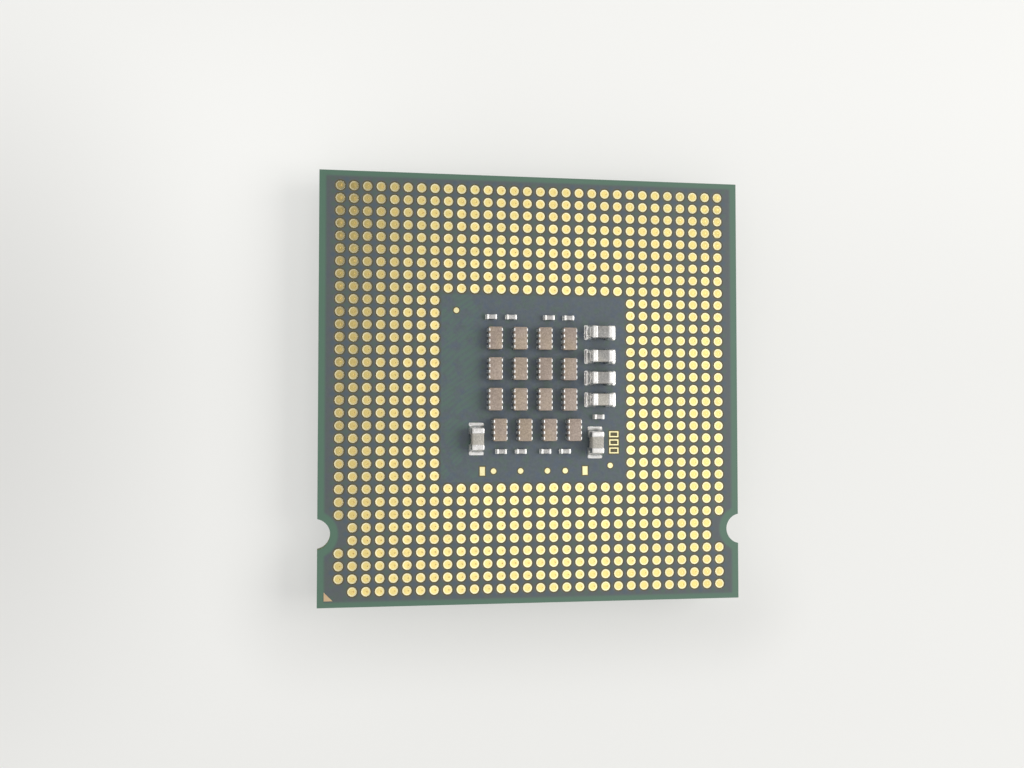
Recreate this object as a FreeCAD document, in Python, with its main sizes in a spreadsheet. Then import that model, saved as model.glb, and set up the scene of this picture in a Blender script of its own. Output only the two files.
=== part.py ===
import FreeCAD, Part
import math
import os
import types
import Sketcher

# Desktop processor in a land grid package, in millimetres.
# It lies on its metal lid, so the lid's outer face is Z = 0 and the contact lands look up along +Z.
# The origin is the middle of the lid's outer face, straight under the middle of the board.

SIZES = {
    # board
    "board_side": 37.5,
    "board_thick": 1.17,
    "notch_radius": 1.33,
    "notch_outset": 0.24,
    "notch_from_corner": 6.22,
    # contact lands
    "land_diameter": 0.81,
    "land_thick": 0.03,
    "land_gap_across": 0.36,
    "land_gap_down": 0.28,
    "land_edge_across": 1.1,
    "land_edge_down": 0.85,
    "land_keepout": 0.5,
    "bay_margin": 0.2,
    # pin one mark
    "mark_leg": 0.75,
    "mark_inset": 0.57,
    # lid
    "lid_margin": 1.75,
    "lid_corner": 1.6,
    "foot_wide": 1.6,
    "vent_diameter": 0.6,
    "vent_wall": 0.225,
    "plateau_rise": 1.05,
    "plateau_corner": 2.2,
    "plateau_chamfer": 0.25,
    "wing_thick": 0.85,
    "recess_corner": 1.2,
    "adhesive_thick": 0.12,
    "adhesive_inset": 0.15,
    # silicon and what bonds it
    "die_across": 13.0,
    "die_down": 10.8,
    "die_thick": 0.775,
    "bump_gap": 0.075,
    "bond_thick": 0.17,
    "bond_spread": 0.15,
    "underfill_spread": 1.05,
    "underfill_climb": 0.45,
    # solder and plating of the land side components
    "solder_thick": 0.04,
    "climb_ratio": 0.4,
    "hollow_ratio": 0.8,
    "plating": 0.03,
    # array capacitors
    "array_across": 1.2,
    "array_down": 1.95,
    "array_tall": 0.85,
    "array_gap_across": 1.01,
    "array_gap_down": 0.72,
    "array_middle_across": -0.21,
    "array_middle_down": 0.365,
    "array_last_shift": 0.41,
    "array_corner": 0.05,
    "terminal_gap": 0.22,
    "terminal_wrap": 0.15,
    "array_pad_out": 0.06,
    # large capacitors
    "large_length": 1.95,
    "large_width": 1.1,
    "large_tall": 1.25,
    "large_band": 0.52,
    "large_pad_out": 0.45,
    "large_pad_lip": 0.12,
    "large_gap_across": 0.43,
    "large_gap_down": 0.58,
    "large_first_lift": 0.21,
    "upright_gap_left": 0.325,
    "upright_gap_right": 0.705,
    "upright_drop_left": 0.79,
    "upright_drop_right": 1.11,
    # small chips
    "chip_length": 0.9,
    "chip_width": 0.44,
    "chip_tall": 0.38,
    "chip_band": 0.2,
    "chip_pad_out": 0.07,
    "chip_row_gap": 0.685,
    "chip_pair_gap": 0.86,
    "chip_shift_top_left": -0.52,
    "chip_shift_top_right": 0.22,
    "chip_shift_bottom_left": 0.36,
    "chip_shift_bottom_right": -0.11,
    "lone_chip_shift": 0.15,
    # bare gold pads and marks
    "foil_thick": 0.02,
    "round_pad": 0.48,
    "block_pad_across": 0.45,
    "block_pad_down": 0.76,
    "block_pad_gap": 0.525,
    "pad_grid": 0.8,
    "pad_row_gap": 0.685,
    "corner_pad_gap": 0.83,
    "corner_pad_shift": 0.34,
    "corner_pad_rise": 0.55,
    "frame_mark_across": 0.84,
    "frame_mark_down": 0.52,
    "frame_mark_line": 0.1,
    "frame_mark_gap": 0.2,
    "frame_mark_clear": 0.645,
}

ARRAY_COLUMNS = 4
ARRAY_ROWS = 4
TERMINALS_A_SIDE = 4
LARGE_IN_COLUMN = 4
FRAME_MARKS = 3
LAND_SIDES = 12
ROUND_PAD_STEPS = (-4.5, -1.5, 1.5, 3.5)

doc = FreeCAD.newDocument("desktop_processor")
sheet = doc.addObject("Spreadsheet::Sheet", "sizes")
for row, (alias, value) in enumerate(SIZES.items(), 1):
    sheet.set(f"A{row}", alias)
    sheet.set(f"B{row}", str(value))
    sheet.setAlias(f"B{row}", alias)
doc.recompute()


class Size:
    """A length from the sheet, or a sum of such lengths: its formula, and its value in millimetres."""

    def __init__(self, formula, value):
        self.formula = formula
        self.value = value

    def __add__(self, other):
        return Size(f"({self.formula} + {formula_of(other)})", self.value + value_of(other))

    def __sub__(self, other):
        return Size(f"({self.formula} - {formula_of(other)})", self.value - value_of(other))

    def __mul__(self, other):
        return Size(f"({self.formula} * {formula_of(other)})", self.value * value_of(other))

    def __truediv__(self, other):
        return Size(f"({self.formula} / {formula_of(other)})", self.value / value_of(other))

    def __neg__(self):
        return Size(f"(0 - {self.formula})", -self.value)


def formula_of(item):
    return item.formula if isinstance(item, Size) else repr(item)


def value_of(item):
    return item.value if isinstance(item, Size) else float(item)


def smallest(first, second):
    return Size(f"min({first.formula}; {second.formula})", min(first.value, second.value))


# s holds every driving size, read back from the sheet
s = types.SimpleNamespace(**{alias: Size(f"sizes.{alias}", float(sheet.get(alias))) for alias in SIZES})


# Heights, from the lid's outer face up
recess_deep = s.bump_gap + s.die_thick + s.bond_thick - s.adhesive_thick
lid_tall = s.plateau_rise + s.wing_thick + recess_deep
board_low = lid_tall + s.adhesive_thick
board_top = board_low + s.board_thick
part_low = board_top + s.solder_thick

# Outlines of board and lid
board_half = s.board_side / 2
notch_across = board_half + s.notch_outset
notch_down = s.notch_from_corner - board_half
lid_side = s.board_side - s.lid_margin * 2
recess_side = lid_side - s.foot_wide * 2
vent_strip = s.vent_diameter + s.vent_wall * 2
plateau_side = recess_side - vent_strip * 2

# Lands: the grid, and where it leaves off
land_pitch_across = s.land_diameter + s.land_gap_across
land_pitch_down = s.land_diameter + s.land_gap_down

# Array capacitors, counted from the left column and the top row
array_pitch_across = s.array_across + s.array_gap_across
array_pitch_down = s.array_down + s.array_gap_down
terminal_pitch = s.array_down / TERMINALS_A_SIDE
terminal_wide = terminal_pitch - s.terminal_gap


def array_column(column):
    return s.array_middle_across + array_pitch_across * (column - (ARRAY_COLUMNS - 1) / 2)


def array_row(row):
    return s.array_middle_down - array_pitch_down * (row - (ARRAY_ROWS - 1) / 2)


def array_places():
    places = []
    for row in range(ARRAY_ROWS):
        for column in range(ARRAY_COLUMNS):
            across = array_column(column)
            if row == ARRAY_ROWS - 1:
                across = across + s.array_last_shift
            places.append((across, array_row(row)))
    return places


array_left = array_column(0) - s.array_across / 2
array_right = array_column(ARRAY_COLUMNS - 1) + s.array_last_shift + s.array_across / 2
array_low_row = array_row(ARRAY_ROWS - 1)

# Large capacitors: a column on the right, and one upright on each side below it
large_pad_wide = s.large_width + s.large_pad_lip * 2
large_reach = s.large_length / 2 + s.large_pad_out
large_pitch = large_pad_wide + s.large_gap_down
large_across = array_right + s.large_gap_across + large_reach
large_lowest = array_row(ARRAY_ROWS - 2)
upright_left = array_left - s.upright_gap_left - large_pad_wide / 2
upright_right = array_right + s.upright_gap_right + large_pad_wide / 2
upright_left_down = array_low_row - s.upright_drop_left
upright_right_down = array_low_row - s.upright_drop_right


def large_places():
    places = []
    for step in range(LARGE_IN_COLUMN):
        down = large_lowest + large_pitch * (LARGE_IN_COLUMN - 1 - step)
        if step == 0:
            down = down + s.large_first_lift
        places.append((large_across, down, False))
    places.append((upright_left, upright_left_down, True))
    places.append((upright_right, upright_right_down, True))
    return places


# Small chips: two pairs above and two below the array, and one by itself on the right
chip_top = array_row(0) + s.array_down / 2 + s.chip_row_gap + s.chip_width / 2
chip_bottom = array_low_row - s.array_down / 2 - s.chip_row_gap - s.chip_width / 2
chip_pair_half = (s.chip_length + s.chip_pair_gap) / 2
lone_chip_down = (large_lowest - large_pad_wide / 2 + upright_right_down + large_reach) / 2


def chip_places():
    left_middle = (array_column(0) + array_column(1)) / 2
    right_middle = (array_column(2) + array_column(3)) / 2
    pairs = (
        (left_middle + s.chip_shift_top_left, chip_top),
        (right_middle + s.chip_shift_top_right, chip_top),
        (left_middle + s.chip_shift_bottom_left, chip_bottom),
        (right_middle + s.chip_shift_bottom_right, chip_bottom),
    )
    places = []
    for middle, down in pairs:
        places.append((middle - chip_pair_half, down))
        places.append((middle + chip_pair_half, down))
    places.append((large_across - s.lone_chip_shift, lone_chip_down))
    return places


# Gold pads and frame marks on the land side
frame_mark_middle = upright_right + large_pad_wide / 2 + s.frame_mark_clear + s.frame_mark_across / 2
frame_mark_pitch = s.frame_mark_down + s.frame_mark_gap
frame_mark_reach = (frame_mark_pitch * (FRAME_MARKS - 1) + s.frame_mark_down) / 2
frame_mark_low = upright_right_down - frame_mark_reach
components_low = smallest(smallest(upright_left_down, upright_right_down) - large_reach, chip_bottom)
pad_row = components_low - s.pad_row_gap - s.block_pad_down / 2
corner_pad_across = frame_mark_middle - s.corner_pad_shift
corner_pad_low = frame_mark_low - s.corner_pad_gap - s.round_pad / 2
corner_pad_high = chip_top + s.corner_pad_rise


def round_pad_places():
    row = [(s.pad_grid * step, pad_row) for step in ROUND_PAD_STEPS]
    return row + [(corner_pad_across, corner_pad_low), (-corner_pad_across, corner_pad_high)]


def block_pad_places():
    outermost = s.pad_grid * max(abs(step) for step in ROUND_PAD_STEPS)
    spread = outermost + (s.round_pad + s.block_pad_across) / 2 + s.block_pad_gap
    return [(-spread, pad_row), (spread, pad_row)]


def frame_mark_places():
    places = []
    for step in range(FRAME_MARKS):
        down = frame_mark_low + s.frame_mark_down / 2 + frame_mark_pitch * step
        places.append((frame_mark_middle, down))
    return places


# The bay without lands reaches past every component and pad
bay_across = frame_mark_middle.value + s.frame_mark_across.value / 2
bay_across = max(bay_across, large_across.value + large_reach.value, corner_pad_across.value + s.round_pad.value / 2)
bay_down = max(
    -pad_row.value + s.block_pad_down.value / 2,
    corner_pad_high.value + s.round_pad.value / 2,
    large_places()[0][1].value + large_pad_wide.value / 2,
)


def land_positions():
    """Centres of the lands: a full grid less the bay, the two notches and the pin one corner."""
    clear = s.land_diameter.value / 2 + s.bay_margin.value
    keep = s.land_diameter.value / 2 + s.land_keepout.value
    corner = board_half.value - s.mark_inset.value
    room_across = s.board_side.value - s.land_diameter.value - 2 * s.land_edge_across.value
    room_down = s.board_side.value - s.land_diameter.value - 2 * s.land_edge_down.value
    columns = int(room_across / land_pitch_across.value) + 1
    rows = int(room_down / land_pitch_down.value) + 1
    centres = []
    for row in range(rows):
        for column in range(columns):
            across = (column - (columns - 1) / 2) * land_pitch_across.value
            down = ((rows - 1) / 2 - row) * land_pitch_down.value
            in_bay = abs(across) < bay_across + clear and abs(down) < bay_down + clear
            from_notch = distance(abs(across), down, notch_across.value, notch_down.value)
            from_mark = distance(across, down, -corner, -corner)
            at_notch = from_notch < s.notch_radius.value + keep
            at_mark = from_mark < s.mark_leg.value + keep
            if not (in_bay or at_notch or at_mark):
                centres.append((across, down))
    return centres


def distance(across, down, to_across, to_down):
    return ((across - to_across) ** 2 + (down - to_down) ** 2) ** 0.5


# What every sub-part uses
def bind(item, path, length):
    item.setExpression(path, formula_of(length))


def put(item, across, down, up):
    bind(item, "Placement.Base.x", across)
    bind(item, "Placement.Base.y", down)
    bind(item, "Placement.Base.z", up)


def new_body(name):
    body = doc.addObject("PartDesign::Body", name)
    body.Label = name
    return body


def origin_feature(body, role):
    return next(item for item in body.Origin.OriginFeatures if item.Role == role)


def new_sketch(body, name, up=None, role="XY_Plane"):
    sketch = body.newObject("Sketcher::SketchObject", f"{body.Name}_{name}")
    sketch.AttachmentSupport = [(origin_feature(body, role), "")]
    sketch.MapMode = "FlatFace"
    if up is not None:
        bind(sketch, "AttachmentOffset.Base.z", up)
    return sketch


def pin_point(sketch, edge, point, corner):
    for kind, length in zip(("DistanceX", "DistanceY"), corner):
        index = sketch.addConstraint(Sketcher.Constraint(kind, -1, 1, edge, point, length.value))
        bind(sketch, f"Constraints[{index}]", length)


def draw_outline(sketch, corners):
    first = sketch.GeometryCount
    count = len(corners)
    points = [FreeCAD.Vector(across.value, down.value, 0) for across, down in corners]
    for index in range(count):
        sketch.addGeometry(Part.LineSegment(points[index], points[(index + 1) % count]), False)
    for index in range(count):
        following = first + (index + 1) % count
        sketch.addConstraint(Sketcher.Constraint("Coincident", first + index, 2, following, 1))
    for index, corner in enumerate(corners):
        pin_point(sketch, first + index, 1, corner)


def draw_rectangle(sketch, across, down):
    half_across = across / 2
    half_down = down / 2
    draw_outline(sketch, [
        (-half_across, -half_down),
        (half_across, -half_down),
        (half_across, half_down),
        (-half_across, half_down),
    ])


def draw_circle(sketch, across, down, radius):
    centre = FreeCAD.Vector(across.value, down.value, 0)
    edge = sketch.addGeometry(Part.Circle(centre, FreeCAD.Vector(0, 0, 1), radius.value), False)
    pin_point(sketch, edge, 3, (across, down))
    index = sketch.addConstraint(Sketcher.Constraint("Radius", edge, radius.value))
    bind(sketch, f"Constraints[{index}]", radius)


def add_pad(body, name, sketch, length, both_ways=False):
    pad = body.newObject("PartDesign::Pad", f"{body.Name}_{name}")
    pad.Profile = sketch
    pad.Midplane = both_ways
    bind(pad, "Length", length)
    return pad


def cut_pocket(body, name, sketch, length, upward=False):
    """A pocket from the sketch's plane down, or up: it has to take material away."""
    doc.recompute()
    before = body.Shape.Volume
    pocket = body.newObject("PartDesign::Pocket", f"{body.Name}_{name}")
    pocket.Profile = sketch
    pocket.Reversed = upward
    bind(pocket, "Length", length)
    doc.recompute()
    if body.Shape.Volume >= before:
        raise ValueError(f"{pocket.Name} cuts nothing")
    return pocket


def upright_edges(shape, chosen=lambda middle: True):
    """Names of the straight edges along Z whose middles are chosen."""
    names = []
    for index, edge in enumerate(shape.Edges, 1):
        low, high = edge.BoundBox.ZMin, edge.BoundBox.ZMax
        if abs(edge.Length - (high - low)) < 1e-6 and chosen(edge.CenterOfMass):
            names.append(f"Edge{index}")
    return names


def round_edges(body, name, base, edges, radius):
    rounded = body.newObject("PartDesign::Fillet", f"{body.Name}_{name}")
    rounded.Base = (base, edges)
    bind(rounded, "Radius", radius)
    doc.recompute()
    return rounded


def new_box(name, across, down, up):
    box = doc.addObject("Part::Box", name)
    bind(box, "Length", across)
    bind(box, "Width", down)
    bind(box, "Height", up)
    return box


def cut(name, base, tool):
    result = doc.addObject("Part::Cut", name)
    result.Base = base
    result.Tool = tool
    return result


def solid_group(name, solids):
    group = doc.addObject("Part::Feature", name)
    group.Label = name
    group.Shape = Part.makeCompound(solids)
    return group


def block(across, down, up, middle_across, middle_down, low):
    """A box with its middle at the given place and its underside at low."""
    corner = FreeCAD.Vector(middle_across - across / 2, middle_down - down / 2, low)
    return Part.makeBox(across, down, up, corner)


# Board
def package_substrate():
    body = new_body("package_substrate")
    outline = new_sketch(body, "outline", board_low)
    draw_rectangle(outline, s.board_side, s.board_side)
    add_pad(body, "laminate", outline, s.board_thick)
    notches = new_sketch(body, "notches", board_top)
    draw_circle(notches, notch_across, notch_down, s.notch_radius)
    draw_circle(notches, -notch_across, notch_down, s.notch_radius)
    cut_pocket(body, "key_notches", notches, s.board_thick)
    return body


def pin_one_mark():
    body = new_body("pin_one_mark")
    corner = s.mark_inset - board_half
    end = corner + s.mark_leg
    outline = new_sketch(body, "outline", board_top)
    draw_outline(outline, [(corner, corner), (end, corner), (corner, end)])
    add_pad(body, "foil", outline, s.foil_thick)
    return body


# Lands, in four quarters of the board and with twelve sides each, so that each node stays light
def land_prism():
    """One land on the board, in the middle: its corners lie on the land's circle."""
    corners = []
    for step in range(LAND_SIDES + 1):
        turn = 2 * math.pi * step / LAND_SIDES
        reach = s.land_diameter.value / 2
        corners.append(FreeCAD.Vector(reach * math.cos(turn), reach * math.sin(turn), board_top.value))
    outline = Part.Face(Part.makePolygon(corners))
    return outline.extrude(FreeCAD.Vector(0, 0, s.land_thick.value))


def contact_lands():
    quarters = {
        "contact_lands_back_left": [],
        "contact_lands_back_right": [],
        "contact_lands_front_left": [],
        "contact_lands_front_right": [],
    }
    land = land_prism()
    centres = land_positions()
    for across, down in centres:
        side = "left" if across < 0 else "right"
        end = "back" if down > 0 else "front"
        quarters[f"contact_lands_{end}_{side}"].append(land.translated(FreeCAD.Vector(across, down, 0)))
    print("lands:", len(centres))
    return [solid_group(name, lands) for name, lands in quarters.items() if lands]


# Lid: a flange with its foot, the raised plateau, the recess over the silicon and the vent
def heat_spreader():
    body = new_body("heat_spreader")
    flange_outline = new_sketch(body, "flange_outline", s.plateau_rise)
    draw_rectangle(flange_outline, lid_side, lid_side)
    flange = add_pad(body, "flange", flange_outline, lid_tall - s.plateau_rise)
    doc.recompute()
    corners = upright_edges(flange.Shape)
    round_edges(body, "flange_corners", flange, corners, s.lid_corner)

    plateau_outline = new_sketch(body, "plateau_outline")
    draw_rectangle(plateau_outline, plateau_side, plateau_side)
    plateau = add_pad(body, "plateau", plateau_outline, s.plateau_rise)
    doc.recompute()
    step = s.plateau_rise.value
    corners = upright_edges(plateau.Shape, lambda middle: middle.z < step)
    rounded = round_edges(body, "plateau_corners", plateau, corners, s.plateau_corner)

    rim = []
    for index, edge in enumerate(rounded.Shape.Edges, 1):
        if edge.BoundBox.ZMax < step / 2:
            rim.append(f"Edge{index}")
    chamfer = body.newObject("PartDesign::Chamfer", "heat_spreader_rim")
    chamfer.Base = (rounded, rim)
    bind(chamfer, "Size", s.plateau_chamfer)

    recess_outline = new_sketch(body, "recess_outline", lid_tall)
    draw_rectangle(recess_outline, recess_side, recess_side)
    recess = cut_pocket(body, "recess", recess_outline, recess_deep)
    inside = recess_side.value / 2 + s.foot_wide.value / 4
    corners = upright_edges(recess.Shape, lambda middle: middle.z > step and inner(middle, inside))
    round_edges(body, "recess_corners", recess, corners, s.recess_corner)

    vent_place = (recess_side - vent_strip) / 2
    vent_outline = new_sketch(body, "vent_outline", s.plateau_rise)
    draw_circle(vent_outline, -vent_place, recess_side / 4, s.vent_diameter / 2)
    cut_pocket(body, "vent", vent_outline, s.wing_thick, upward=True)
    return body


def inner(middle, reach):
    return abs(middle.x) < reach and abs(middle.y) < reach


def lid_adhesive():
    body = new_body("lid_adhesive")
    outer_side = lid_side - s.adhesive_inset * 2
    inner_side = recess_side + s.adhesive_inset * 2
    outline = new_sketch(body, "outline", lid_tall)
    draw_rectangle(outline, outer_side, outer_side)
    bead = add_pad(body, "bead", outline, s.adhesive_thick)
    doc.recompute()
    round_edges(body, "corners", bead, upright_edges(bead.Shape), s.lid_corner)
    opening = new_sketch(body, "opening", board_low)
    draw_rectangle(opening, inner_side, inner_side)
    cut_pocket(body, "middle", opening, s.adhesive_thick)
    return body


# Silicon, the metal bond to the lid, and the resin that holds its bumps
def silicon_die():
    body = new_body("silicon_die")
    outline = new_sketch(body, "outline", board_low - s.bump_gap - s.die_thick)
    draw_rectangle(outline, s.die_across, s.die_down)
    add_pad(body, "wafer", outline, s.die_thick)
    return body


def thermal_solder():
    body = new_body("thermal_solder")
    outline = new_sketch(body, "outline", s.plateau_rise + s.wing_thick)
    draw_rectangle(outline, s.die_across + s.bond_spread * 2, s.die_down + s.bond_spread * 2)
    add_pad(body, "layer", outline, s.bond_thick)
    return body


def die_underfill():
    body = new_body("die_underfill")
    wide = new_sketch(body, "wide_end", board_low)
    draw_rectangle(wide, s.die_across + s.underfill_spread * 2, s.die_down + s.underfill_spread * 2)
    narrow = new_sketch(body, "narrow_end", board_low - s.bump_gap - s.underfill_climb)
    draw_rectangle(narrow, s.die_across + s.bond_spread * 2, s.die_down + s.bond_spread * 2)
    fillet = body.newObject("PartDesign::AdditiveLoft", "die_underfill_fillet")
    fillet.Profile = wide
    fillet.Sections = [narrow]
    fillet.Ruled = True
    seat = new_sketch(body, "die_seat", board_low - s.bump_gap)
    draw_rectangle(seat, s.die_across, s.die_down)
    cut_pocket(body, "seat", seat, s.underfill_climb)
    return body


# Array capacitors: a ceramic block, and eight terminals that wrap over its long edges
def array_capacitor(number, across, down):
    body = new_body(f"array_capacitor_{number}")
    outline = new_sketch(body, "outline")
    draw_rectangle(outline, s.array_across - s.plating * 2, s.array_down)
    ceramic = add_pad(body, "ceramic", outline, s.array_tall - s.plating * 2)
    doc.recompute()
    round_edges(body, "corners", ceramic, upright_edges(ceramic.Shape), s.array_corner)
    put(body, across, down, part_low + s.plating)
    return body


def array_terminals(number, across, down):
    body = new_body(f"array_terminals_{number}")
    half = s.array_across / 2
    wrap_end = half - s.terminal_wrap
    side = half - s.plating
    top = s.array_tall - s.plating
    ground = s.plating * 0
    profile = [
        (wrap_end, ground),
        (half, ground),
        (half, s.array_tall),
        (wrap_end, s.array_tall),
        (wrap_end, top),
        (side, top),
        (side, s.plating),
        (wrap_end, s.plating),
    ]
    outline = new_sketch(body, "outline", role="XZ_Plane")
    draw_outline(outline, profile)
    draw_outline(outline, [(-along, up) for along, up in reversed(profile)])
    pair = add_pad(body, "pair", outline, terminal_wide, both_ways=True)
    row = body.newObject("PartDesign::LinearPattern", f"{body.Name}_row")
    row.Originals = [pair]
    row.Direction = (origin_feature(body, "Y_Axis"), [""])
    row.Occurrences = TERMINALS_A_SIDE
    bind(row, "Length", terminal_pitch * (TERMINALS_A_SIDE - 1))
    body.Tip = row
    put(body, across, down - terminal_pitch * ((TERMINALS_A_SIDE - 1) / 2), part_low)
    return body


# Large capacitors: a ceramic block between two metal end caps
def large_capacitor(number, across, down, upright):
    shell = s.plating * 2
    along, wide = s.large_length - shell, s.large_width - shell
    sides = (wide, along) if upright else (along, wide)
    ceramic = new_box(f"large_capacitor_{number}", *sides, s.large_tall - shell)
    ceramic.Label = ceramic.Name
    put(ceramic, across - sides[0] / 2, down - sides[1] / 2, part_low + s.plating)
    return ceramic


def large_end_caps(number, across, down, upright):
    name = f"large_end_caps_{number}"
    shell = s.plating * 2
    bare = s.large_length - s.large_band * 2
    along, wide = s.large_length, s.large_width
    outer_sides = (wide, along) if upright else (along, wide)
    inner_sides = (wide - shell, along - shell) if upright else (along - shell, wide - shell)
    gap_sides = (wide, bare) if upright else (bare, wide)
    outer = new_box(f"{name}_outer", *outer_sides, s.large_tall)
    put(outer, across - outer_sides[0] / 2, down - outer_sides[1] / 2, part_low)
    ceramic = new_box(f"{name}_ceramic", *inner_sides, s.large_tall - shell)
    put(ceramic, across - inner_sides[0] / 2, down - inner_sides[1] / 2, part_low + s.plating)
    middle = new_box(f"{name}_middle", *gap_sides, s.large_tall)
    put(middle, across - gap_sides[0] / 2, down - gap_sides[1] / 2, part_low)
    caps = cut(name, cut(f"{name}_hollow", outer, ceramic), middle)
    caps.Label = name
    return caps


# Small chips
def chip_bodies():
    length = s.chip_length.value - 2 * s.plating.value
    width = s.chip_width.value - 2 * s.plating.value
    tall = s.chip_tall.value - 2 * s.plating.value
    low = part_low.value + s.plating.value
    solids = [block(length, width, tall, x.value, y.value, low) for x, y in chip_places()]
    return solid_group("chip_bodies", solids)


def chip_end_caps():
    length = s.chip_length.value
    width = s.chip_width.value
    tall = s.chip_tall.value
    shell = s.plating.value
    low = part_low.value
    solids = []
    for x, y in chip_places():
        outer = block(length, width, tall, x.value, y.value, low)
        ceramic = block(length - 2 * shell, width - 2 * shell, tall - 2 * shell, x.value, y.value, low + shell)
        middle = block(length - 2 * s.chip_band.value, width, tall, x.value, y.value, low)
        solids.extend(outer.cut(ceramic).cut(middle).Solids)
    return solid_group("chip_end_caps", solids)


# Solder: a pad under each terminal, with a hollow fillet that climbs its outer face
def solder_joint(under, out, wide, tall):
    """One joint: the terminal's outer face is at X = 0 and the fillet runs out along +X."""
    thick = s.solder_thick.value
    climb = s.climb_ratio.value * tall
    foot = FreeCAD.Vector(out, 0, thick)
    head = FreeCAD.Vector(0, 0, thick + climb)
    chord = (out**2 + climb**2) ** 0.5
    deepest_radius = chord**2 / (2 * min(out, climb))
    deepest = deepest_radius - (deepest_radius**2 - chord**2 / 4) ** 0.5
    inwards = FreeCAD.Vector(-climb / chord, 0, -out / chord)
    sag = (foot + head) / 2 + inwards * (deepest * s.hollow_ratio.value)
    corners = [
        head,
        FreeCAD.Vector(0, 0, thick),
        FreeCAD.Vector(-under, 0, thick),
        FreeCAD.Vector(-under, 0, 0),
        FreeCAD.Vector(out, 0, 0),
        foot,
    ]
    edges = [Part.LineSegment(a, b).toShape() for a, b in zip(corners, corners[1:])]
    edges.append(Part.Arc(foot, sag, head).toShape())
    profile = Part.Face(Part.Wire(edges))
    solid = profile.extrude(FreeCAD.Vector(0, wide, 0))
    solid.translate(FreeCAD.Vector(0, -wide / 2, 0))
    return solid


def placed_joint(joint, turn, across, down):
    solid = joint.copy()
    solid.rotate(FreeCAD.Vector(0, 0, 0), FreeCAD.Vector(0, 0, 1), turn)
    solid.translate(FreeCAD.Vector(across, down, board_top.value))
    return solid


def end_joints(joint, across, down, half_length, upright):
    if upright:
        return [
            placed_joint(joint, 90, across, down + half_length),
            placed_joint(joint, 270, across, down - half_length),
        ]
    return [
        placed_joint(joint, 0, across + half_length, down),
        placed_joint(joint, 180, across - half_length, down),
    ]


def component_solder():
    small = solder_joint(s.terminal_wrap.value, s.array_pad_out.value, terminal_wide.value, s.array_tall.value)
    large = solder_joint(s.large_band.value, s.large_pad_out.value, large_pad_wide.value, s.large_tall.value)
    chip = solder_joint(s.chip_band.value, s.chip_pad_out.value, s.chip_width.value, s.chip_tall.value)
    solids = []
    for across, down in array_places():
        for step in range(TERMINALS_A_SIDE):
            level = down.value + terminal_pitch.value * (step - (TERMINALS_A_SIDE - 1) / 2)
            solids.extend(end_joints(small, across.value, level, s.array_across.value / 2, False))
    for across, down, upright in large_places():
        solids.extend(end_joints(large, across.value, down.value, s.large_length.value / 2, upright))
    for across, down in chip_places():
        solids.extend(end_joints(chip, across.value, down.value, s.chip_length.value / 2, False))
    return solid_group("component_solder", solids)


# Bare gold: round and oblong test pads, and three plain open frames
def gold_pads():
    low = board_top.value
    thick = s.foil_thick.value
    line = 2 * s.frame_mark_line.value
    solids = []
    for across, down in round_pad_places():
        centre = FreeCAD.Vector(across.value, down.value, low)
        solids.append(Part.makeCylinder(s.round_pad.value / 2, thick, centre))
    for across, down in block_pad_places():
        sides = (s.block_pad_across.value, s.block_pad_down.value)
        solids.append(block(*sides, thick, across.value, down.value, low))
    for across, down in frame_mark_places():
        sides = (s.frame_mark_across.value, s.frame_mark_down.value)
        window = (sides[0] - line, sides[1] - line)
        place = (across.value, down.value, low)
        solids.append(block(*sides, thick, *place).cut(block(*window, thick, *place)))
    return solid_group("gold_pads", solids)


def build_all():
    nodes = [package_substrate(), pin_one_mark(), heat_spreader(), lid_adhesive()]
    nodes += [silicon_die(), thermal_solder(), die_underfill()]
    nodes += contact_lands()
    for number, (across, down) in enumerate(array_places(), 1):
        nodes.append(array_capacitor(number, across, down))
        nodes.append(array_terminals(number, across, down))
    for number, (across, down, upright) in enumerate(large_places(), 1):
        nodes.append(large_capacitor(number, across, down, upright))
        nodes.append(large_end_caps(number, across, down, upright))
    nodes += [chip_bodies(), chip_end_caps(), component_solder(), gold_pads()]
    return nodes


nodes = build_all()
doc.recompute()

for item in doc.Objects:
    if "Invalid" in item.State or "Error" in item.State:
        raise ValueError(f"{item.Name} failed: {item.State}")
for node in nodes:
    if node.Shape.isNull() or not node.Shape.isValid() or not node.Shape.Solids:
        raise ValueError(f"{node.Label} has no valid shape")

os.makedirs("parts", exist_ok=True)
for node in nodes:
    node.Shape.exportStep(f"parts/{node.Label}.step")
print("nodes:", len(nodes))
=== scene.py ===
import math

import bmesh
import bpy
from mathutils import Matrix, Vector


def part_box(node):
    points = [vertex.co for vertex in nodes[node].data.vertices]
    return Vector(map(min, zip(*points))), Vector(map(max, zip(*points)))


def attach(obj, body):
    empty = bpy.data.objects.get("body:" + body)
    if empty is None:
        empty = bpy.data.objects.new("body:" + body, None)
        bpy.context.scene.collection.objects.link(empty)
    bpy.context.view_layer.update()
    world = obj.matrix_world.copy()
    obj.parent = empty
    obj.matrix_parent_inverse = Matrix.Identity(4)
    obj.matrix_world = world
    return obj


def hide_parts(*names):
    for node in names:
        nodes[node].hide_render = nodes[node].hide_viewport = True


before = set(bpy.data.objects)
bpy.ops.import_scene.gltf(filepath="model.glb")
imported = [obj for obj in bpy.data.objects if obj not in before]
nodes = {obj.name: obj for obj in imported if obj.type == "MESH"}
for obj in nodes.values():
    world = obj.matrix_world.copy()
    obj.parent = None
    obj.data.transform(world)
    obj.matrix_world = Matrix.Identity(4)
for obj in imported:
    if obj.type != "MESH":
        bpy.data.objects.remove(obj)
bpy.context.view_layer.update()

mm = 0.001
print("frame loaded:", len(nodes), "nodes")


# places that come from the frame, in metres
boardLow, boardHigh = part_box("package_substrate")
boardTop = boardHigh.z
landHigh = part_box("contact_lands_back_left")[1]
boardHalf = boardHigh.x


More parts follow.
